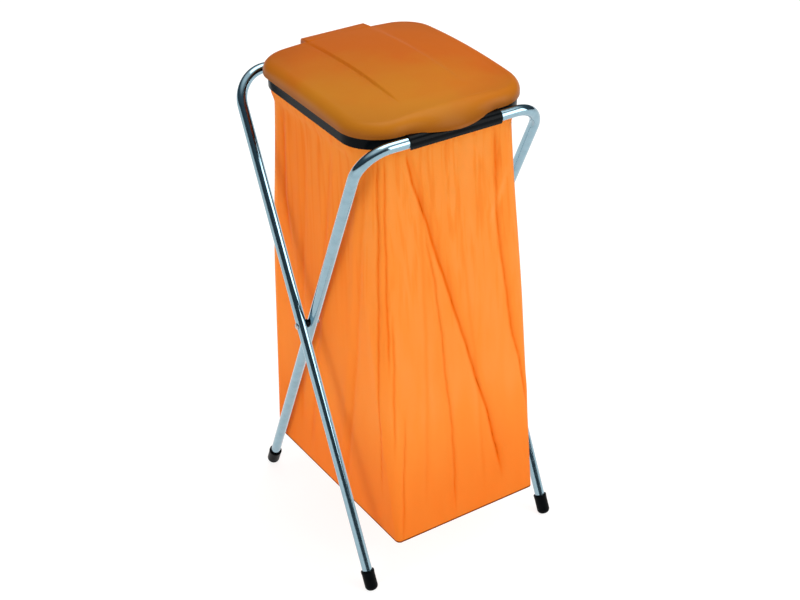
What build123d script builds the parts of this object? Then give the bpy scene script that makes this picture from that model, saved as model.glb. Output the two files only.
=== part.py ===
import os
from math import cos, hypot, pi, sin

from build123d import *

# A folding stand that holds a large bin bag open under a hinged lid. Millimetres, with the
# front towards -Y, the height along +Z and the origin on the floor under the middle of the bag.

# Bent tube frames
tube_od = 18.0
bend_radius = 54.0
bar_height = 845.0
bar_reach = 188.0
foot_reach = 213.0
inner_half = 168.5

# Foot caps
cap_od = 23.5
cap_length = 38.0
cap_floor = 8.0
cap_flat = 0.6
cap_fit = 0.05

# Pivots of the two frames
rivet_od = 6.0
rivet_head_od = 11.0
rivet_head_height = 2.2
rivet_seat = 0.1
pivot_fit = 0.08
spacer_od = 15.0
spacer_length = 2.8
spacer_cup = 1.6
spacer_run = 0.2
spacer_fit = 0.05

# Ring that carries the bag
ring_leg_gap = 1.0
ring_bar_gap = 5.5
ring_corner = 60.0
ring_wall = 2.3
ring_hang = 9.0
ring_over_bar = 0.9
flange = 2.0
hook_half = 84.0
hook_wall = 2.0
hook_gap = 0.3
hook_lean = 22.0
hook_drop = 5.5
hook_start = 55.0
clip_half = 29.0
clip_wall = 2.2
clip_start = -50.0
clip_sweep = 250.0
hinge_fit = 0.1

# Inner ring that grips the film
grip_wall = 2.0
grip_flange = 1.8
grip_lap = 1.6
grip_depth = 16.0
grip_seat = 0.2

# Film bag
film = 0.5
film_play = 0.4
bag_floor = 84.0
bag_draw_in = 11.0
bag_flare = 33.5
bag_floor_corner = 24.0
bag_floor_shift_x = 6.0
bag_floor_shift_y = -4.0
bag_top_drop = 0.6
bag_collar_drop = 3.0
corner_steps = 9
fold_levels = 4
fold_depth = 7.0
fold_start = 0.03
fold_rise = 0.6
fold_spread = 1.5
fold_variety = 0.4
side_folds = 5
end_folds = 4

# Lid
lid_side_lap = 3.5
lid_end_lap = 9.0
lid_corner = 70.0
lid_wall = 2.5
lid_height = 35.0
lid_seat = 0.3
crown_radius = 1640.0
shoulder_start = 19.0
shoulder_slope = 50.0
flange_inset = 1.3
panel_half = 61.0
panel_raise = 2.5
panel_edge = 2.5
panel_front_inset = 22.5
panel_front_drop = 9.0
hood_reach = 11.5
hood_drop = 10.5
hood_round = 8.0
tab_reach = 27.0
tab_radius = 86.0
tab_lip = 4.0
tab_crest_drop = 6.2
tab_middle = 60.0
tab_middle_drop = 16.7
hook_clearance = 0.5
knuckle_start = 33.0
knuckle_width = 22.0
knuckle_rib = 2.5
knuckle_rib_reach = 6.5
notch_gap = 2.5

tube_radius = tube_od / 2
cap_radius = cap_od / 2
outer_half = inner_half + tube_od + spacer_length + 2 * spacer_run
leg_run = bar_reach + foot_reach
leg_length = hypot(leg_run, bar_height)
leg_sin = leg_run / leg_length
leg_cos = bar_height / leg_length
pivot_height = bar_height * foot_reach / leg_run
cap_centre = (cap_radius - cap_flat) / leg_cos
tube_end = cap_centre - cap_radius + cap_floor
ring_half_x = inner_half - tube_radius - ring_leg_gap
ring_half_y = bar_reach - tube_radius - ring_bar_gap
ring_bottom = bar_height - ring_hang
ring_top = bar_height + tube_radius + ring_over_bar
bag_floor_half_x = ring_half_x - bag_draw_in
bag_floor_half_y = ring_half_y + bag_flare
lid_half_x = ring_half_x + lid_side_lap
lid_half_y = ring_half_y + lid_end_lap
lid_bottom = ring_top + lid_seat
lid_top = lid_bottom + lid_height
panel_front = lid_half_y - panel_front_inset
grip_inset = ring_wall + film + 2 * film_play
knuckle_end = knuckle_start + knuckle_width
rib_starts = [
    knuckle_start, knuckle_end - knuckle_rib, -knuckle_end, -knuckle_start - knuckle_rib
]


def frame_plane(side):
    """Plane of the frame whose bar is on one side: X across, Y up the legs, origin on the bar."""
    return Plane(
        origin=(0, side * bar_reach, bar_height),
        x_dir=(1, 0, 0),
        z_dir=(0, -leg_cos, side * leg_sin),
    )


def bent_frame(half_width, side):
    """Tube bent into a long U, drilled across both legs for the pivots."""
    low = tube_end - leg_length
    with BuildLine(frame_plane(side)) as route:
        FilletPolyline(
            (-half_width, low), (-half_width, 0), (half_width, 0), (half_width, low),
            radius=bend_radius,
        )
    with BuildPart() as tube:
        with BuildSketch(Plane(origin=route.line @ 0, z_dir=route.line % 0)):
            Circle(tube_radius)
        sweep(path=route.line)
        with Locations((0, 0, pivot_height)):
            Cylinder(
                rivet_od / 2 + pivot_fit, 2 * (outer_half + tube_od),
                rotation=(0, 90, 0), mode=Mode.SUBTRACT,
            )
    return tube


def foot_cap(x, side):
    """Blunt round cap on a leg's end, worn flat where it stands on the floor."""
    up = frame_plane(side).y_dir
    ground = Vector(x, -side * foot_reach, 0)
    profile_plane = Plane(
        origin=ground + up * cap_centre, x_dir=(1, 0, 0), z_dir=(0, -leg_cos, side * leg_sin)
    )
    top = cap_length - cap_radius
    bore = tube_radius + cap_fit
    seat = cap_floor - cap_radius
    toe = Vector(leg_sin, -leg_cos) * cap_radius
    bevel = (toe + Vector(cap_radius, 0)).normalized() * cap_radius
    with BuildPart() as cap:
        with BuildSketch(profile_plane):
            with BuildLine():
                Polyline(
                    (0, toe.Y), toe, bevel, (cap_radius, 0), (cap_radius, top), (bore, top),
                    (bore, seat), (0, seat), close=True,
                )
            make_face()
        revolve(axis=Axis(profile_plane.origin, profile_plane.y_dir))
        split(bisect_by=Plane.XY, keep=Keep.TOP)
    return cap


def pivot_rivet(side):
    """Rivet through both tubes, with a low flat head at each end."""
    inside = inner_half - tube_radius - rivet_seat
    outside = outer_half + tube_radius + rivet_seat
    along = Plane(origin=(side * inside, 0, pivot_height), z_dir=(side, 0, 0))
    low = (Align.CENTER, Align.CENTER, Align.MIN)
    high = (Align.CENTER, Align.CENTER, Align.MAX)
    with BuildPart(along) as rivet:
        Cylinder(rivet_od / 2, outside - inside, align=low)
        Cylinder(rivet_head_od / 2, rivet_head_height, align=high)
        with Locations((0, 0, outside - inside)):
            Cylinder(rivet_head_od / 2, rivet_head_height, align=low)
    return rivet


def pivot_spacer(side):
    """Spacer between the tubes, cupped over the outer one so that it stays put."""
    inside = inner_half + tube_radius + spacer_run
    along = Plane(origin=(side * inside, 0, pivot_height), z_dir=(side, 0, 0))
    leg = Plane(origin=(side * outer_half, 0, pivot_height), z_dir=(0, leg_sin, leg_cos))
    with BuildPart() as spacer:
        with BuildSketch(along):
            Circle(spacer_od / 2)
            Circle(rivet_od / 2 + pivot_fit, mode=Mode.SUBTRACT)
        extrude(amount=spacer_length + spacer_cup)
        with BuildSketch(leg):
            Circle(tube_radius + spacer_fit)
        extrude(amount=spacer_od, both=True, mode=Mode.SUBTRACT)
    return spacer


def clip_section(y, start, sweep_angle, wall, gap, straight=0.0):
    """Section of a hook round a bar at y, with a straight end where one is given."""
    inner = tube_radius + gap
    end = (start + sweep_angle) * pi / 180
    tail = Vector(-sin(end), cos(end)) * straight
    with BuildSketch() as section:
        with BuildLine():
            inside = CenterArc((y, bar_height), inner, start, sweep_angle)
            outside = CenterArc((y, bar_height), inner + wall, start, sweep_angle)
            Line(inside @ 0, outside @ 0)
            if straight:
                short = Line(inside @ 1, inside @ 1 + tail)
                long = Line(outside @ 1, outside @ 1 + tail)
                Line(short @ 1, long @ 1)
            else:
                Line(inside @ 1, outside @ 1)
        make_face()
    return section.sketch


def bag_outline(depth, inset):
    """Corners round the bag at a share of its depth, with a V-shaped fold at each gather."""
    top_inset = ring_wall + film_play
    half_x = (ring_half_x - top_inset) * (1 - depth) + bag_floor_half_x * depth - inset
    half_y = (ring_half_y - top_inset) * (1 - depth) + bag_floor_half_y * depth - inset
    corner = (ring_corner - top_inset) * (1 - depth) + bag_floor_corner * depth - inset
    middle = Vector(bag_floor_shift_x, bag_floor_shift_y) * depth
    gather = fold_depth * max(sin(pi * depth ** fold_rise), fold_start)
    places = []
    for quarter in range(4):
        count, out, along = side_folds, half_x, half_y
        if quarter % 2:
            count, out, along = end_folds, half_y, half_x
        flat = along - corner
        side = []
        for fold in range(count):
            deep = gather * (1 + fold_variety * cos(fold * fold + quarter))
            at = flat * ((2 * fold + 1) / count - 1)
            side.append(Vector(out, at - deep * fold_spread))
            side.append(Vector(out - deep, at))
            side.append(Vector(out, at + deep * fold_spread))
        for step in range(corner_steps + 1):
            turn = pi / 2 * step / corner_steps
            side.append(Vector(out - corner + corner * cos(turn), flat + corner * sin(turn)))
        places += [middle + point.rotate(Axis.Z, 90 * quarter) for point in side]
    return places


def bag_form(inset, floor):
    """Solid within the film's outer face, or within its inner face when inset."""
    collar = ring_bottom - bag_collar_drop
    heights = [ring_top - bag_top_drop]
    outlines = [bag_outline(0, inset)]
    for level in range(fold_levels + 1):
        depth = level / fold_levels
        heights.append(collar + (floor - collar) * depth)
        outlines.append(bag_outline(depth, inset))
    rings = [
        [Vector(point.X, point.Y, height) for point in outline]
        for outline, height in zip(outlines, heights)
    ]
    faces = [Face(Wire.make_polygon(rings[0])), Face(Wire.make_polygon(rings[-1]))]
    for upper, lower in zip(rings, rings[1:]):
        for at in range(len(upper)):
            panel = (upper[at - 1], upper[at], lower[at], lower[at - 1])
            faces.append(Face(Wire.make_polygon(panel)))
    return Solid(Shell(faces))


def tab_form(inset):
    """Rounded lip at the lid's front that bulges out over the hook."""
    centre = tab_radius - lid_half_y - tab_reach
    roof = lid_top - inset
    rim = tab_radius - inset
    with BuildPart() as tab:
        with BuildSketch(Plane.XZ.offset(-centre)):
            with BuildLine():
                crest = (0, roof - tab_crest_drop)
                lip = (rim, lid_bottom + tab_lip)
                brow = (tab_middle, roof - tab_middle_drop)
                Polyline(crest, brow, lip, (rim, lid_bottom), (0, lid_bottom), crest)
            make_face()
        revolve(axis=Axis((0, centre, 0), (0, 0, 1)))
    return tab.part


def panel_form(inset):
    """Raised middle of the lid, which runs on at the rear as the hood over the hinge."""
    roof = lid_top - inset
    rear = (lid_half_y + hood_reach - inset, roof - hood_drop)
    front = (-panel_front, roof - panel_front_drop)
    with BuildPart() as panel:
        with BuildSketch(Plane.YZ) as strip:
            with BuildLine():
                ThreePointArc(rear, (0, roof + panel_raise), front)
                Polyline(front, (front[0], lid_bottom), (rear[0], lid_bottom), rear)
            make_face()
            fillet(strip.vertices().sort_by(Axis.X)[-2:].sort_by(Axis.Y)[-1], hood_round - inset)
        extrude(amount=panel_half - inset, both=True)
        if inset < panel_edge:
            edges = panel.faces().sort_by(Axis.Z)[-1].edges().filter_by(GeomType.CIRCLE)
            chamfer(edges, panel_edge - inset)
    return panel.part


def lid_form(inset):
    """Outer form of the lid, or its hollow when every face moves in by inset."""
    with BuildPart() as form:
        with BuildSketch(Plane.XY.offset(lid_bottom)):
            RectangleRounded(
                2 * (lid_half_x - inset), 2 * (lid_half_y - inset), lid_corner - inset
            )
        extrude(amount=shoulder_start - inset / 2)
        extrude(
            form.faces().sort_by(Axis.Z)[-1], amount=lid_height - shoulder_start,
            taper=shoulder_slope,
        )
        for turn in (0, 90):
            with Locations((0, 0, lid_top - crown_radius)):
                Cylinder(
                    crown_radius - inset, 4 * lid_half_y, rotation=(0, 90, turn),
                    mode=Mode.INTERSECT,
                )
        add(panel_form(inset))
        add(tab_form(inset))
    return form.part


def rib_section(low, high):
    """Section of a rib that stands on a hinge knuckle, between two heights."""
    with BuildSketch() as section:
        with Locations((bar_reach - knuckle_rib_reach, low)):
            Rectangle(
                knuckle_rib_reach + lid_half_y + hood_reach - lid_wall - bar_reach, high - low,
                align=(Align.MIN, Align.MIN),
            )
        with Locations((bar_reach, bar_height)):
            Circle(tube_radius + hinge_fit, mode=Mode.SUBTRACT)
    return section.sketch


os.makedirs("parts", exist_ok=True)

inner_frame = bent_frame(inner_half, -1)
inner_frame.part.label = "inner_frame"
export_step(inner_frame.part, "parts/inner_frame.step")

outer_frame = bent_frame(outer_half, 1)
outer_frame.part.label = "outer_frame"
export_step(outer_frame.part, "parts/outer_frame.step")

with BuildPart() as front_caps:
    add(foot_cap(-outer_half, 1).part)
    add(foot_cap(outer_half, 1).part)
front_caps.part.label = "front_caps"
export_step(front_caps.part, "parts/front_caps.step")

with BuildPart() as rear_caps:
    add(foot_cap(-inner_half, -1).part)
    add(foot_cap(inner_half, -1).part)
rear_caps.part.label = "rear_caps"
export_step(rear_caps.part, "parts/rear_caps.step")

with BuildPart() as pivot_rivets:
    add(pivot_rivet(-1).part)
    add(pivot_rivet(1).part)
pivot_rivets.part.label = "pivot_rivets"
export_step(pivot_rivets.part, "parts/pivot_rivets.step")

with BuildPart() as pivot_spacers:
    add(pivot_spacer(-1).part)
    add(pivot_spacer(1).part)
pivot_spacers.part.label = "pivot_spacers"
export_step(pivot_spacers.part, "parts/pivot_spacers.step")

with BuildPart() as bag_ring:
    with BuildSketch(Plane.XY.offset(ring_bottom)):
        RectangleRounded(2 * ring_half_x, 2 * ring_half_y, ring_corner)
    extrude(amount=ring_top - ring_bottom)
    with BuildSketch(Plane.XY.offset(ring_top - flange)):
        RectangleRounded(
            2 * (lid_half_x - flange_inset), 2 * (lid_half_y - flange_inset),
            lid_corner - flange_inset,
        )
        with Locations((0, ring_half_y + notch_gap)):
            Rectangle(
                2 * (knuckle_start + knuckle_width + notch_gap), bar_reach - ring_half_y,
                align=(Align.CENTER, Align.MIN), mode=Mode.SUBTRACT,
            )
    extrude(amount=flange)
    with BuildSketch(Plane.YZ):
        add(clip_section(-bar_reach, hook_start, 180 + hook_lean - hook_start, hook_wall,
                         hook_gap, hook_drop))
        with Locations((-ring_half_y, ring_top)):
            Rectangle(bar_reach - ring_half_y, flange, align=(Align.MAX, Align.MAX))
        with Locations((-bar_reach, bar_height)):
            Circle(tube_radius + hook_gap, mode=Mode.SUBTRACT)
    extrude(amount=hook_half, both=True)
    with BuildSketch(Plane.YZ):
        with Locations((ring_half_y, ring_top)):
            Rectangle(bar_reach - ring_half_y, flange, align=(Align.MIN, Align.MAX))
        add(clip_section(bar_reach, clip_start, clip_sweep, clip_wall, hinge_fit))
        with Locations((bar_reach, bar_height)):
            Circle(tube_radius + hinge_fit, mode=Mode.SUBTRACT)
    extrude(amount=clip_half, both=True)
    with BuildSketch(Plane.XY.offset(ring_bottom)):
        RectangleRounded(
            2 * (ring_half_x - ring_wall), 2 * (ring_half_y - ring_wall), ring_corner - ring_wall
        )
    extrude(amount=ring_top - ring_bottom, mode=Mode.SUBTRACT)
bag_ring.part.label = "bag_ring"
export_step(bag_ring.part, "parts/bag_ring.step")

with BuildPart() as grip_ring:
    with BuildSketch(Plane.XY.offset(ring_top - grip_depth)):
        RectangleRounded(
            2 * (ring_half_x - grip_inset), 2 * (ring_half_y - grip_inset),
            ring_corner - grip_inset,
        )
    extrude(amount=grip_depth + grip_seat + grip_flange)
    with BuildSketch(Plane.XY.offset(ring_top + grip_seat)):
        RectangleRounded(
            2 * (ring_half_x - grip_lap), 2 * (ring_half_y - grip_lap), ring_corner - grip_lap
        )
    extrude(amount=grip_flange)
    with BuildSketch(Plane.XY.offset(ring_top - grip_depth)):
        RectangleRounded(
            2 * (ring_half_x - grip_inset - grip_wall), 2 * (ring_half_y - grip_inset - grip_wall),
            ring_corner - grip_inset - grip_wall,
        )
    extrude(amount=grip_depth + grip_seat + grip_flange, mode=Mode.SUBTRACT)
grip_ring.part.label = "grip_ring"
export_step(grip_ring.part, "parts/grip_ring.step")

film_outside = bag_form(0, bag_floor)
film_inside = bag_form(film, bag_floor + film)

with BuildPart() as bag:
    add(film_outside)
    add(film_inside, mode=Mode.SUBTRACT)
bag.part.label = "bag"
export_step(bag.part, "parts/bag.step")

with BuildPart() as lid_hollow:
    add(lid_form(lid_wall))
    for start in rib_starts:
        with BuildSketch(Plane.YZ.offset(start)):
            add(rib_section(lid_bottom, lid_top))
        extrude(amount=knuckle_rib, mode=Mode.SUBTRACT)

with BuildPart() as lid:
    add(lid_form(0))
    add(lid_hollow.part, mode=Mode.SUBTRACT)
    with Locations((0, bar_reach, lid_bottom)):
        Box(
            2 * (clip_half + notch_gap), 2 * (lid_half_y + hood_reach - bar_reach) + notch_gap,
            2 * notch_gap, mode=Mode.SUBTRACT,
        )
    with Locations((0, -bar_reach, bar_height)):
        Cylinder(
            tube_radius + hook_gap + hook_wall + hook_clearance, 2 * (hook_half + hook_clearance),
            rotation=(0, 90, 0), mode=Mode.SUBTRACT,
        )
    for start in rib_starts:
        with BuildSketch(Plane.YZ.offset(start)):
            add(rib_section(bar_height, lid_bottom))
        extrude(amount=knuckle_rib)
    for start in (knuckle_start, -knuckle_end):
        with BuildSketch(Plane.YZ.offset(start)):
            add(clip_section(bar_reach, clip_start, clip_sweep, clip_wall, hinge_fit))
        extrude(amount=knuckle_width)
lid.part.label = "lid"
export_step(lid.part, "parts/lid.step")
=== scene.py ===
"""Looks of a folding bin bag holder: two crossed tube frames, a black ring, a film bag and a lid.

Sizes are in millimetres in the fields below and become metres when a mesh is made. The front is
towards -Y, the height along +Z and the origin is on the floor under the middle of the bag.
"""

import logging
import math
from collections.abc import Callable, Iterator, Sequence
from contextlib import contextmanager
from dataclasses import dataclass
from enum import Enum

import bmesh
import bpy
from mathutils import Matrix, Vector


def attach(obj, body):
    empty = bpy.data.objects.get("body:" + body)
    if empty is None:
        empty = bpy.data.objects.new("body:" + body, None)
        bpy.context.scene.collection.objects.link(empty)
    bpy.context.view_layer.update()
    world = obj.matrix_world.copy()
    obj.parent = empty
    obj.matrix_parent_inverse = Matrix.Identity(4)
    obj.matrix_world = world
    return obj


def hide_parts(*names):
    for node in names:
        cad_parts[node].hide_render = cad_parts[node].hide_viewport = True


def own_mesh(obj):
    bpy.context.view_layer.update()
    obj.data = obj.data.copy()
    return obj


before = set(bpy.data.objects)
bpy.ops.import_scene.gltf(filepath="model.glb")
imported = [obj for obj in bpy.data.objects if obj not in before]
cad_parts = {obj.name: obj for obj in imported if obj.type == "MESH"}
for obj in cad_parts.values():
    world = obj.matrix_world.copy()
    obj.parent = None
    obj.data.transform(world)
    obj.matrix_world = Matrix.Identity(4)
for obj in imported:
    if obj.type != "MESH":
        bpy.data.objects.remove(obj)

log = logging.getLogger("bin_bag_holder")
MM = 0.001
NEAR = 0.1  # Places closer than this, in millimetres, count as the same.
FACING = 0.9  # A normal with at least this share in a direction faces that way.
GRAIN_DEPTH = 0.3 * MM
Point = tuple[float, float]
Triple = tuple[float, float, float]


class Slot(Enum):
    """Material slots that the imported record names."""

    BRIGHT_STEEL = "bright_steel"
    RIVET_STEEL = "rivet_steel"
    BLACK_PLASTIC = "black_plastic"
    ORANGE_FILM = "orange_film"
    ORANGE_PLASTIC = "orange_plastic"


class Body(Enum):
    """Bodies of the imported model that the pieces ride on."""

    OUTER_FRAME = "outer_frame"
    INNER_FRAME = "inner_frame"
    RING = "ring"
    LID = "lid"


class Side(Enum):
    """Left and right of the stand, as the sign of X."""

    LEFT = -1
    RIGHT = 1


class End(Enum):
    """Front and rear of the stand, as the sign of Y."""

    FRONT = -1
    REAR = 1


# Small tools


def linear(shade: str) -> tuple[float, float, float, float]:
    """Linear RGBA of a colour.

    Args:
        shade: sRGB colour as six hex digits.

    Returns:
        The colour in linear light, with an alpha of 1.
    """
    parts = [int(shade[i:i + 2], 16) / 255 for i in (0, 2, 4)]
    red, green, blue = (c / 12.92 if c <= 0.04045 else ((c + 0.055) / 1.055) ** 2.4 for c in parts)
    return red, green, blue, 1.0


def add_node(
    tree: bpy.types.NodeTree, kind: str, links: dict | None = None, **settings: object
) -> bpy.types.Node:
    """Adds a node with its settings and links.

    Args:
        tree: Node tree that gets the node.
        kind: Blender's type name of the node.
        links: A value or another node's output for each input, by name or place.
        settings: Attributes of the node.

    Returns:
        The new node.
    """
    node = tree.nodes.new(kind)
    for name, value in settings.items():
        setattr(node, name, value)
    for key, value in (links or {}).items():
        if isinstance(value, bpy.types.NodeSocket):
            tree.links.new(value, node.inputs[key])
        else:
            node.inputs[key].default_value = value
    return node


def empty_material(name: str) -> tuple[bpy.types.Material, bpy.types.NodeTree]:
    """A new material with an empty node tree, and that tree."""
    material = bpy.data.materials.new(name)
    material.use_nodes = True
    material.node_tree.nodes.clear()
    return material, material.node_tree


def set_ramp(node: bpy.types.Node, stops: Sequence[tuple[float, str]]) -> None:
    """Gives a colour ramp its stops.

    Args:
        node: The colour ramp.
        stops: Place and sRGB colour of each stop, in order.
    """
    elements = node.color_ramp.elements
    while len(elements) < len(stops):
        elements.new(0.5)
    for element, (place, shade) in zip(elements, stops):
        element.position = place
        element.color = linear(shade)


def smooth_step(low: float, high: float, value: float) -> float:
    """0 below low, 1 above high and a smooth rise between them."""
    share = min(1.0, max(0.0, (value - low) / (high - low)))
    return share * share * (3 - 2 * share)


def along_path(points: Sequence[Point], at: float) -> float:
    """Place of a line at a height.

    Args:
        points: (place, height) from the top down.
        at: The height asked for.

    Returns:
        The place there, or the nearest end's place past the ends.
    """
    if at >= points[0][1]:
        return points[0][0]
    for (upper, high), (lower, low) in zip(points, points[1:]):
        if at >= low:
            return lower + (upper - lower) * (at - low) / (high - low)
    return points[-1][0]


def spaced(points: Sequence[Point], count: int) -> list[Point]:
    """A line's points again, evenly spaced along it.

    Args:
        points: Corners of the line.
        count: How many points to give back.

    Returns:
        That many points, from the first corner to the last.
    """
    runs = [math.dist(a, b) for a, b in zip(points, points[1:])]
    whole = sum(runs)
    made = []
    for k in range(count):
        left = whole * k / (count - 1)
        for (a, b), run in zip(zip(points, points[1:]), runs):
            if left <= run or b == points[-1]:
                share = min(1.0, left / run)
                made.append((a[0] + (b[0] - a[0]) * share, a[1] + (b[1] - a[1]) * share))
                break
            left -= run
    return made


def only(piece: bpy.types.Object) -> None:
    """Selects one piece alone and makes it the active one."""
    bpy.ops.object.select_all(action="DESELECT")
    piece.select_set(True)
    bpy.context.view_layer.objects.active = piece


@contextmanager
def editing(piece: bpy.types.Object, mode: str = "EDGE") -> Iterator[None]:
    """Edit mode on one piece, with nothing selected in it at first."""
    only(piece)
    bpy.ops.object.mode_set(mode="EDIT")
    bpy.ops.mesh.select_mode(type=mode)
    bpy.ops.mesh.select_all(action="DESELECT")
    yield
    bpy.ops.object.mode_set(mode="OBJECT")


def start_with(
    add: Callable[..., set[str]], name: str, place: Sequence[float], **settings: object
) -> bpy.types.Object:
    """Adds a primitive at a place in millimetres, with nothing else selected, and names it."""
    bpy.ops.object.select_all(action="DESELECT")
    add(location=[at * MM for at in place], **settings)
    piece = bpy.context.active_object
    piece.name = name
    return piece


def extrude(x: float = 0.0, y: float = 0.0, z: float = 0.0) -> None:
    """Extrudes what is selected by a step in millimetres."""
    bpy.ops.mesh.extrude_region_move(TRANSFORM_OT_translate={"value": (x * MM, y * MM, z * MM)})


def pick_edges(piece: bpy.types.Object, test: Callable[[Vector], bool]) -> None:
    """Selects the edges whose two ends both pass a test of their place, in millimetres."""
    mesh = bmesh.from_edit_mesh(piece.data)
    for edge in mesh.edges:
        edge.select_set(all(test(v.co / MM) for v in edge.verts))
    mesh.select_flush_mode()
    bmesh.update_edit_mesh(piece.data)


def pick_faces(piece: bpy.types.Object, test: Callable[[Vector, Vector], bool]) -> None:
    """Selects the faces whose centre, in millimetres, and normal pass a test."""
    mesh = bmesh.from_edit_mesh(piece.data)
    mesh.normal_update()
    for face in mesh.faces:
        face.select_set(test(face.calc_center_median() / MM, face.normal))
    mesh.select_flush_mode()
    bmesh.update_edit_mesh(piece.data)


def settle(piece: bpy.types.Object) -> None:
    """Applies a piece's place, turn and size to its mesh."""
    only(piece)
    bpy.ops.object.transform_apply(location=True, rotation=True, scale=True)


def close_up(piece: bpy.types.Object) -> None:
    """Merges doubles, fills open ends and points the faces outwards."""
    with editing(piece, "VERT"):
        bpy.ops.mesh.select_all(action="SELECT")
        bpy.ops.mesh.remove_doubles(threshold=0.01 * MM)
        bpy.ops.mesh.fill_holes(sides=0)
        bpy.ops.mesh.select_all(action="SELECT")
        bpy.ops.mesh.normals_make_consistent(inside=False)


def apply_modifier(piece: bpy.types.Object, kind: str, **settings: object) -> None:
    """Adds a modifier to a piece with its settings and applies it."""
    only(piece)
    modifier = piece.modifiers.new(kind.title(), kind)
    for name, value in settings.items():
        setattr(modifier, name, value)
    bpy.ops.object.modifier_apply(modifier=modifier.name)


def shade(piece: bpy.types.Object, angle: float = 38.0) -> None:
    """Smooth shading that keeps edges over an angle in degrees sharp."""
    only(piece)
    bpy.ops.object.shade_smooth_by_angle(angle=math.radians(angle))


def thick_shell(mesh: bmesh.types.BMesh, name: str, wall: float) -> bpy.types.Object:
    """Makes an object of a skin and gives it a wall inwards, in millimetres."""
    bmesh.ops.recalc_face_normals(mesh, faces=mesh.faces)
    data = bpy.data.meshes.new(name)
    mesh.to_mesh(data)
    mesh.free()
    piece = bpy.data.objects.new(name, data)
    bpy.context.collection.objects.link(piece)
    apply_modifier(piece, "SOLIDIFY", thickness=wall * MM, offset=-1.0)
    shade(piece, angle=60)
    return piece


def dress(
    piece: bpy.types.Object, material: bpy.types.Material, body: Body, slot: Slot, *nodes: str
) -> None:
    """Gives a finished piece its material and its body, and hides the nodes that it replaces."""
    piece.data.materials.clear()
    piece.data.materials.append(material)
    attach(piece, body.value)
    if nodes:
        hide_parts(*nodes)
    log.info("%s: %d faces on %s", piece.name, len(piece.data.polygons), body.value)


# Finishes


@dataclass(frozen=True)
class ChromedSteel:
    """Drawn steel tube with bright chrome plating: a cool mirror with faint haze along the tube."""

    name: str = "chrome_plated_tube"
    bright: str = "94B1BE"
    dull: str = "8CA9B6"
    roughness: float = 0.12
    haze_mm: float = 14.0
    mark_mm: float = 2.0
    mark_strength: float = 0.003

    def material(self) -> bpy.types.Material:
        """Builds the plated finish."""
        material, tree = empty_material(self.name)
        place = add_node(tree, "ShaderNodeTexCoord").outputs["Object"]
        cloud = add_node(tree, "ShaderNodeTexNoise", {
            "Vector": place, "Scale": 1 / (self.haze_mm * MM), "Detail": 2.0})
        colour = add_node(tree, "ShaderNodeValToRGB", {"Fac": cloud.outputs["Fac"]})
        set_ramp(colour, [(0.30, self.dull), (0.62, self.bright)])
        gloss = add_node(tree, "ShaderNodeMapRange", {
            "Value": cloud.outputs["Fac"], "From Min": 0.3, "From Max": 0.75,
            "To Min": self.roughness, "To Max": self.roughness * 1.25})
        # Draw marks of the tube mill are about 0.1 mm apart; drawn wider so that they show.
        marks = add_node(tree, "ShaderNodeTexNoise", {
            "Vector": place, "Scale": 1 / (self.mark_mm * MM), "Detail": 2.0})
        bump = add_node(tree, "ShaderNodeBump", {
            "Height": marks.outputs["Fac"], "Strength": self.mark_strength, "Distance": 0.0004})
        shader = add_node(tree, "ShaderNodeBsdfPrincipled", {
            "Base Color": colour.outputs["Color"], "Metallic": 1.0,
            "Roughness": gloss.outputs["Result"], "Normal": bump.outputs["Normal"]})
        add_node(tree, "ShaderNodeOutputMaterial", {"Surface": shader.outputs["BSDF"]})
        return material


@dataclass(frozen=True)
class MouldedPlastic:
    """Injection-moulded plastic: an even colour with fine moulding texture and a satin gloss."""

    name: str
    main: str
    second: str
    roughness: float
    cloud_mm: float
    grain_mm: float
    grain_strength: float
    specular: float
    ior: float = 1.49
    cloud_detail: float = 4.0
    cloud_range: Point = (0.25, 0.75)
    gloss_range: Point = (0.85, 1.20)

    def colour(
        self, tree: bpy.types.NodeTree, place: bpy.types.NodeSocket, cloud: bpy.types.NodeSocket
    ) -> bpy.types.NodeSocket:
        """Colour of the surface, from its place and its clouds."""
        colour = add_node(tree, "ShaderNodeValToRGB", {"Fac": cloud})
        set_ramp(colour, [(0.28, self.second), (0.72, self.main)])
        return colour.outputs["Color"]

    def material(self) -> bpy.types.Material:
        """Builds the moulded finish."""
        material, tree = empty_material(self.name)
        place = add_node(tree, "ShaderNodeTexCoord").outputs["Object"]
        cloud = add_node(tree, "ShaderNodeTexNoise", {
            "Vector": place, "Scale": 1 / (self.cloud_mm * MM), "Detail": self.cloud_detail})
        gloss = add_node(tree, "ShaderNodeMapRange", {
            "Value": cloud.outputs["Fac"],
            "From Min": self.cloud_range[0], "From Max": self.cloud_range[1],
            "To Min": self.roughness * self.gloss_range[0],
            "To Max": self.roughness * self.gloss_range[1]})
        grain = add_node(tree, "ShaderNodeTexNoise", {
            "Vector": place, "Scale": 1 / (self.grain_mm * MM), "Detail": 3.0})
        bump = add_node(tree, "ShaderNodeBump", {
            "Height": grain.outputs["Fac"], "Strength": self.grain_strength,
            "Distance": GRAIN_DEPTH})
        shader = add_node(tree, "ShaderNodeBsdfPrincipled", {
            "Base Color": self.colour(tree, place, cloud.outputs["Fac"]),
            "Roughness": gloss.outputs["Result"], "IOR": self.ior,
            "Specular IOR Level": self.specular, "Normal": bump.outputs["Normal"]})
        add_node(tree, "ShaderNodeOutputMaterial", {"Surface": shader.outputs["BSDF"]})
        return material


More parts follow.
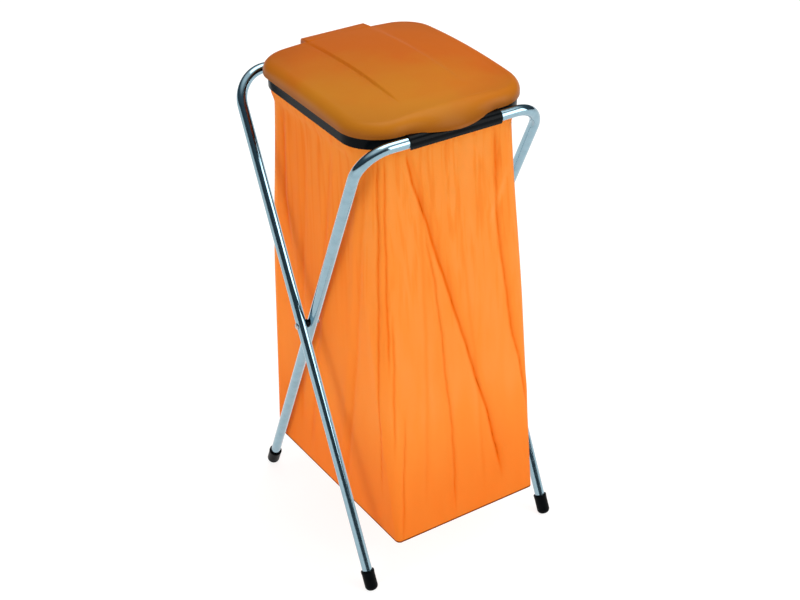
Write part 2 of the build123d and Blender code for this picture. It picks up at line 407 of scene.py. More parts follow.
@dataclass(frozen=True)
class MouldedLid(MouldedPlastic):
    """Orange polypropylene lid: soft gloss, ochre towards the front and redder at the back."""

    name: str = "moulded_polypropylene_lid"
    main: str = "C27A1C"
    second: str = "C46210"
    roughness: float = 0.35
    cloud_mm: float = 90.0
    grain_mm: float = 1.6
    grain_strength: float = 0.06
    specular: float = 0.09
    cloud_detail: float = 3.0
    cloud_range: Point = (0.3, 0.7)
    gloss_range: Point = (0.90, 1.15)
    cloud_share: float = 0.5
    tone_turn: float = 38.0
    tone_scale: float = 1.6
    tone_reach: float = 0.33
    # Colour of the painted shade at the rim, and the heights over which it gives way to the lid's
    # colour.
    rim: str = "8A4E10"
    rim_shade_from: float = 0.860
    rim_shade_to: float = 0.884

    def colour(
        self, tree: bpy.types.NodeTree, place: bpy.types.NodeSocket, cloud: bpy.types.NodeSocket
    ) -> bpy.types.NodeSocket:
        """Colour of the lid, which changes from the front to the back, with painted shade towards
        the rim.
        """
        # Flow of the melt leaves a slow change of shade from the front to the back, with clouds.
        turned = add_node(tree, "ShaderNodeMapping", {
            "Vector": place, "Rotation": (0.0, 0.0, math.radians(self.tone_turn)),
            "Scale": (self.tone_scale, self.tone_scale, 1.0)})
        axes = add_node(tree, "ShaderNodeSeparateXYZ", {"Vector": turned.outputs["Vector"]})
        slope = add_node(tree, "ShaderNodeMapRange", {
            "Value": axes.outputs["Y"],
            "From Min": -self.tone_reach, "From Max": self.tone_reach})
        mixed = add_node(tree, "ShaderNodeMath", {
            0: cloud, 1: self.cloud_share, 2: slope.outputs["Result"]}, operation="MULTIPLY_ADD")
        colour = add_node(tree, "ShaderNodeValToRGB", {"Fac": mixed.outputs["Value"]})
        set_ramp(colour, [(0.42, self.main), (0.86, self.second)])
        # Painted shade: the colour darkens towards the bottom of the lid, so that the walls look
        # shaded.
        height = add_node(tree, "ShaderNodeSeparateXYZ", {"Vector": place}).outputs["Z"]
        rim_unshaded = add_node(tree, "ShaderNodeMapRange", {
            "Value": height, "From Min": self.rim_shade_from, "From Max": self.rim_shade_to})
        deep = add_node(tree, "ShaderNodeMix", {
            0: rim_unshaded.outputs["Result"], 6: linear(self.rim), 7: colour.outputs["Color"]},
            data_type="RGBA")
        return deep.outputs[2]


@dataclass(frozen=True)
class BagFilm:
    """Blown polyethylene film: thin and cloudy, lit through, with painted shade and doubled film at
    folds.
    """

    name: str = "blown_polyethylene_film"
    light: str = "FFC66C"
    body: str = "FFB64E"
    fold: str = "FB8A14"
    # Darkest colour, used for the painted shadow along the bag's bottom edge.
    base_shadow: str = "9A4E0C"
    through: str = "FFCE74"
    through_fold: str = "F29A3C"
    lit_through: float = 0.60
    roughness: float = 0.40
    streak_mm: float = 22.0
    streak_drawn: float = 0.16
    streak_share: float = 0.22
    pleat_mm: float = 9.0
    pleat_drawn: float = 0.03
    pleat_range: Point = (0.50, 0.68)
    pleat_shade: float = 0.20
    pleats_low: float = 0.42
    pleats_high: float = 0.83
    wrinkle_mm: float = 9.0
    wrinkle_depth: float = 2.0

    def material(self) -> bpy.types.Material:
        """Builds the film, whose fold attribute says how much painted shade and doubled film darken
        each place.
        """
        material, tree = empty_material(self.name)
        place = add_node(tree, "ShaderNodeTexCoord").outputs["Object"]
        # The fold attribute holds painted shade in and beside the creases, on the sides and along
        # the bottom edge, and darkening where the film lies double.
        fold = add_node(tree, "ShaderNodeAttribute", attribute_name="fold").outputs["Fac"]
        # The film is drawn upwards when it is blown, so its clouds are long streaks along Z.
        drawn = add_node(tree, "ShaderNodeMapping", {
            "Vector": place, "Scale": (1.0, 1.0, self.streak_drawn)})
        streaks = add_node(tree, "ShaderNodeTexNoise", {
            "Vector": drawn.outputs["Vector"], "Scale": 1 / (self.streak_mm * MM), "Detail": 4.0})
        # Under the ring the gathered film hangs in fine pleats that fade out downwards.
        pleated = add_node(tree, "ShaderNodeMapping", {
            "Vector": place, "Scale": (1.0, 1.0, self.pleat_drawn)})
        pleats = add_node(tree, "ShaderNodeTexNoise", {
            "Vector": pleated.outputs["Vector"], "Scale": 1 / (self.pleat_mm * MM), "Detail": 2.0})
        height = add_node(tree, "ShaderNodeSeparateXYZ", {"Vector": place}).outputs["Z"]
        near_ring = add_node(tree, "ShaderNodeMapRange", {
            "Value": height, "From Min": self.pleats_low, "From Max": self.pleats_high,
            "To Max": self.pleat_shade})
        lines = add_node(tree, "ShaderNodeMapRange", {
            "Value": pleats.outputs["Fac"],
            "From Min": self.pleat_range[0], "From Max": self.pleat_range[1],
            "To Max": near_ring.outputs["Result"]})
        folded = add_node(tree, "ShaderNodeMath", {
            0: lines.outputs["Result"], 1: fold}, operation="ADD").outputs["Value"]
        shade_of = add_node(tree, "ShaderNodeMath", {
            0: streaks.outputs["Fac"], 1: self.streak_share, 2: folded}, operation="MULTIPLY_ADD")
        # The lightest stop also carries the painted highlight of the facet where the rear leg shows
        # through.
        colour = add_node(tree, "ShaderNodeValToRGB", {"Fac": shade_of.outputs["Value"]})
        # The last stop is the painted shadow along the bag's bottom edge.
        set_ramp(colour, [
            (0.0, self.light), (0.16, self.body), (0.66, self.fold), (1.0, self.base_shadow)])
        wrinkles = add_node(tree, "ShaderNodeTexNoise", {
            "Vector": drawn.outputs["Vector"], "Scale": 1 / (self.wrinkle_mm * MM),
            "Detail": 3.0})
        bump = add_node(tree, "ShaderNodeBump", {
            "Height": wrinkles.outputs["Fac"], "Strength": 0.04,
            "Distance": self.wrinkle_depth * MM})
        shader = add_node(tree, "ShaderNodeBsdfPrincipled", {
            "Base Color": colour.outputs["Color"], "Roughness": self.roughness, "IOR": 1.5,
            "Specular IOR Level": 0.03, "Normal": bump.outputs["Normal"]})
        lit = add_node(tree, "ShaderNodeValToRGB", {"Fac": folded})
        set_ramp(lit, [(0.0, self.through), (0.60, self.through_fold), (1.0, self.base_shadow)])
        glow = add_node(tree, "ShaderNodeBsdfTranslucent", {
            "Color": lit.outputs["Color"], "Normal": bump.outputs["Normal"]})
        mixed = add_node(tree, "ShaderNodeMixShader", {
            0: self.lit_through, 1: shader.outputs["BSDF"], 2: glow.outputs["BSDF"]})
        add_node(tree, "ShaderNodeOutputMaterial", {"Surface": mixed.outputs["Shader"]})
        return material


# Tube frames


@dataclass
class TubeFrame:
    """One long U of bent tube, with its bar at one end of the stand and its feet at the other."""

    name: str
    body: Body
    half_width: float
    bar: End
    tube_od: float = 18.0
    bend_radius: float = 54.0
    bar_height: float = 845.0
    bar_reach: float = 188.0
    foot_reach: float = 213.0
    cap_od: float = 23.5
    cap_length: float = 38.0
    cap_floor: float = 8.0
    cap_flat: float = 0.6
    cap_round: float = 8.5
    cap_flare: float = 1.04
    cap_gap: float = 0.05
    cap_sides: int = 44
    lip: float = 7.0
    lip_straight: float = 3.0
    lip_round: float = 0.9
    sides: int = 56
    bend_steps: int = 26

    @property
    def lean(self) -> float:
        """Turn about X, in radians, that takes an upright frame to its place."""
        return -self.bar.value * math.atan2(self.bar_reach + self.foot_reach, self.bar_height)

    @property
    def leg_length(self) -> float:
        """Length of a leg's axis from the bar's axis to the floor."""
        return math.hypot(self.bar_reach + self.foot_reach, self.bar_height)

    @property
    def cap_middle(self) -> float:
        """Height up the leg of the point that the cap's round end turns about."""
        return (self.cap_od / 2 - self.cap_flat) / math.cos(self.lean)

    def build(self, steel: bpy.types.Material) -> None:
        """Bends the tube, one leg, bend and run after the other."""
        low = self.cap_middle - self.cap_od / 2 + self.cap_floor - self.leg_length
        tube = start_with(
            bpy.ops.mesh.primitive_circle_add, self.name + "_tube", (-self.half_width, 0, low),
            vertices=self.sides, radius=self.tube_od / 2 * MM, fill_type="NOTHING",
        )
        settle(tube)
        run = 2 * (self.half_width - self.bend_radius)
        leg = -self.bend_radius - low
        with editing(tube):
            bpy.ops.mesh.select_all(action="SELECT")
            extrude(z=leg)
            self.bend(-self.half_width + self.bend_radius)
            extrude(x=run)
            self.bend(self.half_width - self.bend_radius)
            extrude(z=-leg)
        close_up(tube)
        tube.rotation_euler.x = self.lean
        tube.location = (0, self.bar.value * self.bar_reach * MM, self.bar_height * MM)
        settle(tube)
        shade(tube)
        dress(tube, steel, self.body, Slot.BRIGHT_STEEL, self.name)

    def bend(self, centre: float) -> None:
        """Spins the selected ring a quarter turn about a centre across the frame."""
        bpy.ops.mesh.spin(
            steps=self.bend_steps, angle=-math.pi / 2, axis=(0, 1, 0),
            center=(centre * MM, 0, -self.bend_radius * MM),
        )

    def build_cap(self, side: Side, node: str, plastic: bpy.types.Material) -> None:
        """Moulds the cap on one foot.

        Args:
            side: Which leg it is on.
            node: CAD node that the cap stands for.
            plastic: Its material.
        """
        middle = self.cap_middle - self.cap_od / 2 + self.cap_length / 2
        radius = self.cap_od / 2
        cap = start_with(
            bpy.ops.mesh.primitive_cylinder_add, f"{node[:-5]}_{side.name.lower()}_foot_cap",
            (0, 0, middle), vertices=self.cap_sides, radius=radius * MM, depth=self.cap_length * MM,
        )
        settle(cap)
        bottom, top = middle - self.cap_length / 2, middle + self.cap_length / 2
        with editing(cap):
            pick_edges(cap, lambda p: p.z < bottom + NEAR)
            bpy.ops.mesh.bevel(offset=self.cap_round * MM, segments=8, affect="EDGES")
            for under in (self.lip, self.lip_straight):
                bpy.ops.mesh.select_all(action="SELECT")
                bpy.ops.mesh.bisect(plane_co=(0, 0, (top - under) * MM), plane_no=(0, 0, 1))
            pick_edges(cap, lambda p: p.z > top - self.lip_straight - NEAR)
            bpy.ops.transform.resize(value=(self.cap_flare, self.cap_flare, 1))
            bpy.ops.mesh.select_mode(type="FACE")
            pick_faces(cap, lambda p, n: n.z > FACING)
            rim = radius * self.cap_flare - self.tube_od / 2 - self.cap_gap
            bpy.ops.mesh.inset(thickness=rim * MM)
            extrude(z=self.cap_floor - self.cap_length)
            bpy.ops.mesh.select_mode(type="EDGE")
            pick_edges(cap, lambda p: p.z > top - NEAR and p.xy.length > radius)
            bpy.ops.mesh.bevel(offset=self.lip_round * MM, segments=3, affect="EDGES")
        cap.rotation_euler.x = self.lean
        cap.location = (
            side.value * self.half_width * MM, -self.bar.value * self.foot_reach * MM, 0
        )
        settle(cap)
        with editing(cap):
            bpy.ops.mesh.select_all(action="SELECT")
            bpy.ops.mesh.bisect(
                plane_co=(0, 0, 0), plane_no=(0, 0, 1), use_fill=True, clear_inner=True
            )
        close_up(cap)
        shade(cap, angle=50)
        dress(cap, plastic, self.body, Slot.BLACK_PLASTIC, node)


@dataclass
class Pivot:
    """Rivet that joins an inner and an outer leg, with a domed head at each end."""

    height: float = 448.84
    inside: float = 159.4
    outside: float = 198.8
    shank: float = 3.0
    head: float = 5.5
    sides: int = 28
    # Each ring of the domed head: its size against the one before, and the step up to it.
    dome: tuple[Point, ...] = ((1.0, 0.9), (0.8, 0.8), (0.5, 0.5))

    def build(self, side: Side, steel: bpy.types.Material) -> None:
        """Makes one rivet and heads it."""
        length = self.outside - self.inside
        rivet = start_with(
            bpy.ops.mesh.primitive_cylinder_add, f"{side.name.lower()}_pivot_rivet",
            (side.value * (self.inside + length / 2), 0, self.height), vertices=self.sides,
            radius=self.shank * MM, depth=length * MM, rotation=(0, math.pi / 2, 0),
        )
        settle(rivet)
        for end in (self.inside, self.outside):
            outward = side.value * (1 if end == self.outside else -1)
            near = side.value * end
            with editing(rivet, "FACE"):
                pick_faces(
                    rivet, lambda p, n: n.x * outward > FACING and abs(p.x - near) < NEAR)
                for grow, step in ((self.head / self.shank, 0.0), *self.dome):
                    extrude(x=outward * step)
                    bpy.ops.transform.resize(value=(1, grow, grow))
        close_up(rivet)
        shade(rivet, angle=45)
        dress(rivet, steel, Body.OUTER_FRAME, Slot.RIVET_STEEL, "pivot_rivets")


# Lid


@dataclass
class Lid:
    """Crowned lid with a raised panel, a tab over the front bar and a hood over the hinge."""

    half_x: float = 162.0
    half_y: float = 182.5
    corner: float = 70.0
    rear_corner: float = 59.0
    wall: float = 2.5
    bottom: float = 855.2
    top: float = 890.2
    crown_radius: float = 1640.0
    shoulder: float = 16.0
    band: float = 20.0
    panel_half: float = 61.0
    panel_raise: float = 2.5
    panel_rear_drop: float = 10.5
    panel_front_drop: float = 9.0
    panel_front: float = 160.0
    step_inside: float = 0.8
    step_outside: float = 2.0
    groove: float = 1.1
    groove_place: float = 3.0
    groove_width: float = 2.6
    # How far from the lid's rear edge the groove ends, and from where on it is full.
    groove_rear: Point = (12.0, 50.0)
    # The panel's edge turns softer towards the rear, and hard again at the hood, between these Y.
    step_soft: float = 4.0
    soften: Point = (85.0, 150.0)
    harden: Point = (184.0, 168.0)
    step_right: float = 5.0
    hood_reach: float = 11.5
    hood_round: float = 8.0
    tab_half: float = 94.0
    bar_reach: float = 188.0
    bar_height: float = 845.0
    hook_radius: float = 11.9
    hook_half: float = 85.0
    clip_half: float = 31.5
    clip_notch: float = 2.5
    knuckle_start: float = 33.0
    knuckle_width: float = 22.0
    knuckle_inner: float = 9.1
    knuckle_wall: float = 2.2
    rib: float = 2.5
    rib_round: float = 0.4
    rib_place: Point = (186.6, 865.5)
    rib_size: Point = (9.6, 20.5)
    clip_from: float = -50.0
    clip_turn: float = 250.0
    clip_steps: int = 30
    arc_steps: int = 9
    wall_steps: int = 6
    hood_steps: int = 6
    corner_rows: int = 16
    row_step: float = 4.5
    column_step: float = 4.0
    inner_columns: int = 15
    step_columns: tuple[float, ...] = (
        57.5, 58.8, 59.6, 60.2, 60.7, 61.2, 61.7, 62.2, 62.7, 63.2, 64.2, 66.0)
    side_columns: int = 14
    # From the lid's inner edge: how far out and how far under the lid's top the tab's line runs.
    tab_line: tuple[Point, ...] = (
        (0, -8.0), (5, -8.7), (10, -10.2), (15, -12.6), (20, -15.4), (26, -18.9), (32, -22.4),
        (38, -25.9), (42.5, -28.7), (45.4, -30.7), (46.8, -32.4), (47, -34.0), (47, -35.0))

    def crown(self, x: float, y: float) -> float:
        """Height of the plain crowned surface."""
        return self.top - (x * x + y * y) / (2 * self.crown_radius)

    def on_panel(self, x: float, y: float) -> float:
        """1 on the raised panel, 0 beside it and a rise at its edge, steepest on the left."""
        soft = self.step_soft * smooth_step(*self.soften, y) * smooth_step(*self.harden, y)
        soft += self.step_right if x > 0 else 0.0
        return 1 - smooth_step(
            self.panel_half - self.step_inside - soft, self.panel_half + self.step_outside + soft,
            abs(x),
        )

    def panel(self, y: float) -> float:
        """Height of the panel's own curve along the lid."""
        rear = self.half_y + self.hood_reach
        if y > 0:
            drop = (self.panel_raise + self.panel_rear_drop) * (y / rear) ** 2
        else:
            drop = (self.panel_raise + self.panel_front_drop) * (y / self.panel_front) ** 2
        return self.top + self.panel_raise - drop

    def roof(self, x: float, y: float) -> float:
        """Height of the lid's top, with the panel where it stands above the crown."""
        proud = max(0.0, self.panel(y) - self.crown(0, y))
        away = abs(x) - self.panel_half - self.groove_place
        deep = self.groove * math.exp(-(away / self.groove_width) ** 2) * min(1.0, proud)
        none, full = (self.half_y - short for short in self.groove_rear)
        deep *= smooth_step(none, full, y) if x < 0 else 0.0
        return self.crown(x, y) + proud * self.on_panel(x, y) - deep

    def columns(self) -> list[Point]:
        """Places across the lid: a fixed X, and the share of the run from there to the edge."""
        fixed = [self.column_step * k for k in range(self.inner_columns)] + list(self.step_columns)
        right = [(x, 0.0) for x in fixed]
        right += [(fixed[-1], k / self.side_columns) for k in range(1, self.side_columns + 1)]
        left = [(-x, -share) for x, share in reversed(right[1:])]
        return left + right

    def corner_arc(self, corner: float) -> list[Triple]:
        """Places along one corner of the inner edge: Y, the half width and the angle from X."""
        flat_y, flat_x = self.half_y - corner, self.half_x - corner
        radius = corner - self.band
        turns = [math.pi / 2 * k / self.corner_rows for k in range(self.corner_rows + 1)]
        return [(flat_y + radius * math.sin(t), flat_x + radius * math.cos(t), t) for t in turns]

    def rows(self) -> list[Triple]:
        """Places along the lid: Y, the half width there, and the edge's angle from X."""
        front, rear = self.corner_arc(self.corner), self.corner_arc(self.rear_corner)
        start, run = -front[0][0], front[0][0] + rear[0][0]
        count = round(run / self.row_step)
        middle = [(start + run * k / count, front[0][1], 0.0) for k in range(1, count)]
        return [(-y, w, -t) for y, w, t in reversed(front)] + middle + rear

    def edge_line(self, x: float, y: float, turn: float, end: int) -> list[Vector]:
        """Points from the flat top over the shoulder and down the wall, at one place of the edge.

        Args:
            x: Place across of the inner edge.
            y: Place along of the inner edge.
            turn: Angle of the outward direction from the X axis.
            end: -1 on the front edge, 1 on the rear edge and 0 elsewhere.

        Returns:
            The points, in millimetres, without the inner edge's own.
        """
        out = Vector((math.cos(turn), math.sin(turn)))
        flat = self.band - self.shoulder
        steps = [(flat * k / 2, 0.0) for k in (1, 2)]
        for k in range(1, self.arc_steps + 1):
            a = math.pi / 2 * k / self.arc_steps
            steps.append((flat + self.shoulder * math.sin(a), self.shoulder * (1 - math.cos(a))))
        line = []
        for away, drop in steps:
            place = Vector((x, y)) + out * away
            line.append(Vector((place.x, place.y, self.crown(place.x, place.y) - drop)))
        last = line[-1]
        for k in range(1, self.wall_steps + 1):
            share = k / self.wall_steps
            line.append(Vector((last.x, last.y, last.z + (self.bottom - last.z) * share)))
        if end < 0:
            share = math.cos(math.pi * x / (2 * self.tab_half)) ** 2
            tab = spaced(self.tab_line, len(line) + 1)[1:]
            other = [Vector((x, y - away, self.top + drop)) for away, drop in tab]
            line = [a.lerp(b, share) for a, b in zip(line, other)]
            for point in line:
                near = abs(point.y + self.bar_reach)
                if near < self.hook_radius and abs(x) < self.hook_half:
                    over = self.bar_height + math.sqrt(self.hook_radius ** 2 - near ** 2)
                    point.z = max(point.z, over)
        if end > 0:
            hood = self.hood_line(len(line))
            other = [Vector((x, y + away, z)) for away, z in hood]
            share = self.on_panel(-abs(x), self.half_y)
            line = [a.lerp(b, share) for a, b in zip(line, other)]
            if abs(x) < self.clip_half:
                line[-1].z = self.bottom + self.clip_notch
        return line

    def hood_line(self, count: int) -> list[Point]:
        """Line of the hood from the lid's inner edge to its rim: how far out, and the height."""
        start = self.half_y - self.band
        reach = self.band + self.hood_reach
        flat = reach - self.hood_round
        steps = self.hood_steps
        line = [(flat * k / steps, self.panel(start + flat * k / steps)) for k in range(steps + 1)]
        low = line[-1][1]
        for k in range(1, steps + 1):
            a = math.pi / 2 * k / steps
            line.append((
                flat + self.hood_round * math.sin(a), low - self.hood_round * (1 - math.cos(a))
            ))
        line.append((reach, self.bottom))
        return spaced(line, count + 1)[1:]

    def build(self, plastic: bpy.types.Material) -> None:
        """Moulds the shell: a grid over the top and a band round it, then its thickness."""
        mesh = bmesh.new()
        columns, rows = self.columns(), self.rows()
        grid = []
        for y, width, _ in rows:
            line = []
            for fixed, share in columns:
                x = fixed + (width - abs(fixed)) * share
                line.append(mesh.verts.new(Vector((x, y, self.roof(x, y))) * MM))
            grid.append(line)
        for low, high in zip(grid, grid[1:]):
            for k in range(len(columns) - 1):
                mesh.faces.new((low[k], low[k + 1], high[k + 1], high[k]))
        edge = [(grid[0][k], -math.pi / 2, -1) for k in range(len(columns))]
        edge += [(grid[j][-1], rows[j][2], 0) for j in range(1, len(rows) - 1)]
        edge += [(grid[-1][k], math.pi / 2, 1) for k in reversed(range(len(columns)))]
        edge += [(grid[j][0], math.pi - rows[j][2], 0) for j in reversed(range(1, len(rows) - 1))]
        band = []
        for vert, turn, end in edge:
            at = vert.co / MM
            points = self.edge_line(at.x, at.y, turn, end)
            band.append([vert] + [mesh.verts.new(p * MM) for p in points])
        for here, there in zip(band, band[1:] + band[:1]):
            for k in range(len(here) - 1):
                mesh.faces.new((here[k], here[k + 1], there[k + 1], there[k]))
        shell = thick_shell(mesh, "lid_shell", self.wall)
        dress(shell, plastic, Body.LID, Slot.ORANGE_PLASTIC, "lid")
        for side in Side:
            self.build_knuckle(side, plastic)

    def build_knuckle(self, side: Side, plastic: bpy.types.Material) -> None:
        """Makes one hinge knuckle: a clip round the rear bar and two ribs up into the hood."""
        middle = side.value * (self.knuckle_start + self.knuckle_width / 2)
        bar = (middle, self.bar_reach, self.bar_height)
        clip = start_with(
            bpy.ops.mesh.primitive_plane_add, f"{side.name.lower()}_hinge_knuckle", bar, size=1)
        clip.scale = (self.knuckle_width * MM, self.knuckle_wall * MM, 1)
        only(clip)
        bpy.ops.object.transform_apply(location=False, rotation=False, scale=True)
        with editing(clip, "FACE"):
            bpy.ops.mesh.select_all(action="SELECT")
            bpy.ops.transform.translate(
                value=(0, (self.knuckle_inner + self.knuckle_wall / 2) * MM, 0)
            )
        clip.rotation_euler.x = math.radians(self.clip_from)
        settle(clip)
        with editing(clip, "FACE"):
            bpy.ops.mesh.select_all(action="SELECT")
            bpy.ops.mesh.spin(
                steps=self.clip_steps, angle=math.radians(self.clip_turn), axis=(1, 0, 0),
                center=Vector(bar) * MM,
            )
        close_up(clip)
        ribs = []
        for edge in (-1, 1):
            across = middle + edge * (self.knuckle_width - self.rib) / 2
            rib = start_with(
                bpy.ops.mesh.primitive_cube_add, "rib", (across, *self.rib_place), size=1)
            rib.scale = Vector((self.rib, *self.rib_size)) * MM
            settle(rib)
            with editing(rib):
                bpy.ops.mesh.select_all(action="SELECT")
                bpy.ops.mesh.bevel(offset=self.rib_round * MM, segments=2, affect="EDGES")
            ribs.append(rib)
        only(clip)
        for rib in ribs:
            rib.select_set(True)
        bpy.ops.object.join()
        shade(clip, angle=45)
        dress(clip, plastic, Body.LID, Slot.ORANGE_PLASTIC)


# Bag


@dataclass(frozen=True)
class FoldLook:
    """Cross-section and shade of a fold in the film, in millimetres across it.

    The film sinks by depth over a width and stands proud by ridge on one side. It looks darker by
    tint over a line, and by shadow over a tail on the ridge's side.
    """

    depth: float
    width: float
    ridge: float
    tint: float
    line: float
    shadow: float = 0.0
    tail: float = 20.0
    ridge_place: float = 1.9
    ridge_width: float = 1.3

    def away(self, off: float, lean: int) -> float:
        """How far the film stands out at a distance from the fold line."""
        near = off / self.width
        ridge = self.ridge * math.exp(-((near - self.ridge_place * lean) / self.ridge_width) ** 2)
        return ridge - self.depth * math.exp(-near * near)

    def dark(self, off: float, lean: int) -> float:
        """How much darker the film looks at a distance from the fold line."""
        dark = self.tint * math.exp(-(off / self.line) ** 2)
        if off * lean > 0:
            dark += self.shadow * math.exp(-abs(off) / self.tail)
        return dark


LONG = FoldLook(2.6, 5.2, 1.5, 0.50, 2.2, 0.16, 14.0)
PRESSED = FoldLook(2.2, 4.4, 1.4, 0.36, 2.2, 0.14, 16.0)
BRANCH = FoldLook(1.8, 4.0, 1.0, 0.34, 1.9, 0.06, 14.0)
FINE = FoldLook(1.3, 2.8, 0.8, 0.42, 1.7, 0.08, 12.0)
SHORT = FoldLook(1.2, 3.0, 0.8, 0.30, 1.8)
FAINT = FoldLook(0.8, 6.5, 0.7, 0.10, 3.5)
# Its negative tint is a painted highlight that lightens the facet.
FACET = FoldLook(1.4, 6.0, 1.4, -0.22, 6.0)
BROAD = FoldLook(2.6, 9.0, 2.0, 0.12, 3.0, 0.09, 34.0)
SOFT = FoldLook(1.6, 8.5, 1.3, 0.08, 4.0, 0.08, 24.0)
GATHER = FoldLook(2.4, 8.0, 1.8, 0.26, 6.0)


@dataclass(frozen=True)
class Crease:
    """A fold line that runs down the bag.

    Its path gives (way round, height) from the top down. The way round counts the sides from the
    front's left end: 0 front, 1 right, 2 rear, 3 or -1 left, and the last fifth of each is the
    corner after it. It leans to 1, right as seen from outside, or to -1, left.
    """

    path: tuple[Point, ...]
    look: FoldLook
    lean: int = 1
    low_fade: Point = (-30.0, 60.0)
    high_fade: Point = (-50.0, 4.0)
    high_share: float = 0.6
    high_end: float = 18.0

    def strength(self, height: float) -> float:
        """Share of the fold that is left at a height: it fades out past both of its ends."""
        high, low = self.path[0][1], self.path[-1][1]
        weak = self.high_share * smooth_step(*(high + over for over in self.high_fade), height)
        lower = smooth_step(*(low + over for over in self.low_fade), height)
        return lower * (1 - weak) * (1 - smooth_step(high, high + self.high_end, height))


CREASES = (
    # The long fold from the hook down to the lower right, and its branch.
    Crease(((0.09, 829), (0.144, 762), (0.232, 687), (0.316, 597), (0.416, 483), (0.50, 375),
            (0.568, 285), (0.608, 207), (0.63, 150)), LONG),
    Crease(((0.12, 835), (0.15, 790), (0.20, 735), (0.262, 684)), FAINT, -1),
    Crease(((0.228, 645), (0.268, 579), (0.296, 474), (0.316, 366), (0.338, 282), (0.336, 114)),
           BRANCH, -1),
    # The two fine folds near the front's left end, and the short ones under them.
    Crease(((-0.06, 829), (-0.08, 666), (-0.12, 480), (-0.21, 290), (-0.25, 180)), FINE),
    Crease(((-0.030, 831), (-0.04, 717), (-0.052, 594), (-0.064, 440)), FINE, -1),
    Crease(((-0.028, 537), (-0.036, 423), (-0.06, 279)), SHORT),
    Crease(((0.034, 330), (0.016, 195), (0.008, 92)), SHORT, -1),
    Crease(((0.196, 813), (0.188, 627), (0.184, 399), (0.156, 153)), FAINT, -1),
    Crease(((0.47, 640), (0.49, 480), (0.515, 330), (0.52, 140)), FAINT),
    # The fold near the front's right end, and a facet with a painted highlight where the rear leg
    # shows through.
    Crease(((0.768, 825), (0.756, 741), (0.728, 660), (0.748, 534), (0.772, 423), (0.88, 262)),
           PRESSED),
    Crease(((0.83, 730), (0.756, 687), (0.67, 650)), FACET, -1),
    # The broad fold that runs from the left corner back over the left side, and softer ones.
    Crease(((-0.10, 835), (-0.148, 714), (-0.264, 543), (-0.388, 351), (-0.488, 174),
            (-0.52, 105)), BROAD, -1),
    Crease(((-0.408, 806), (-0.564, 573), (-0.684, 339), (-0.768, 126)), SOFT),
    Crease(((-0.70, 806), (-0.74, 603), (-0.788, 381), (-0.828, 156)), SOFT, -1),
    Crease(((-0.944, 800), (-0.94, 651), (-0.88, 560)), GATHER),
    Crease(((-0.52, 815), (-0.50, 700), (-0.53, 600)), FAINT, -1),
    # Right and rear, which the photograph doesn't show: the same kind of folds.
    Crease(((1.14, 826), (1.20, 640), (1.30, 430), (1.40, 180)), PRESSED),
    Crease(((1.37, 820), (1.39, 600), (1.43, 380), (1.44, 150)), BRANCH, -1),
    Crease(((1.60, 826), (1.58, 610), (1.63, 400), (1.70, 170)), PRESSED, -1),
    Crease(((1.95, 815), (1.90, 520), (1.86, 200)), BRANCH, -1),
    Crease(((2.20, 826), (2.24, 640), (2.30, 430), (2.34, 170)), PRESSED),
    Crease(((2.42, 820), (2.43, 590), (2.47, 360), (2.48, 140)), BRANCH, -1),
    Crease(((2.62, 826), (2.60, 620), (2.55, 420), (2.50, 240)), PRESSED, -1),
)


